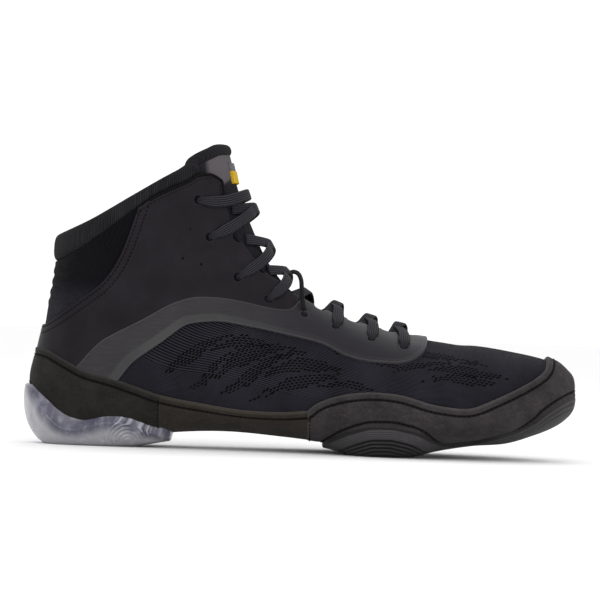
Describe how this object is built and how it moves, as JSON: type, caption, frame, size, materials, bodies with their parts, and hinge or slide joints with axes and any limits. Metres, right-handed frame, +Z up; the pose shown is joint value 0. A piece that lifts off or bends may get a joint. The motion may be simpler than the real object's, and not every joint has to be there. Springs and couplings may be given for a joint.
{
  "type": "wrestling shoe",
  "caption": "High-top lace-up wrestling shoe with a mesh and suede upper, padded collar, thin tongue and a split rubber sole.",
  "frame": {"origin": "on the floor, under the middle of the shoe", "axes": "+X to the toe, +Y to the shoe's outer side, +Z up"},
  "size_m": [0.2886, 0.1036, 0.1602],
  "materials": {
    "mesh": "matt knitted mesh",
    "knit": "matt padded knit",
    "lining": "matt lining",
    "label": "woven patch with a plain mustard bar",
    "lace": "flat woven lace",
    "synthetic": "smooth synthetic leather, slight sheen",
    "band": "smooth synthetic leather, two tones of grey",
    "suede": "napped suede",
    "heel_rubber": "cloudy translucent rubber",
    "black_rubber": "dark grey moulded rubber"
  },
  "bodies": {
    "root": {"upper": "mesh", "insole": "lining", "tongue": "mesh", "tongue_binding": "knit", "tongue_label": "label", "collar_cuff": "knit", "ankle_overlay": "synthetic", "eyestay_band": "band", "heel_panel": "suede", "arch_panel": "suede", "forefoot_panel": "suede", "heel_unit": "heel_rubber", "forefoot_outsole": "black_rubber", "lace_crossing_1": "lace", "lace_crossing_2": "lace", "lace_crossing_3": "lace", "lace_crossing_4": "lace", "lace_crossing_5": "lace", "lace_crossing_6": "lace", "lace_crossing_7": "lace", "lace_crossing_8": "lace", "lace_loose_bar": "lace"}
  },
  "joints": []
}
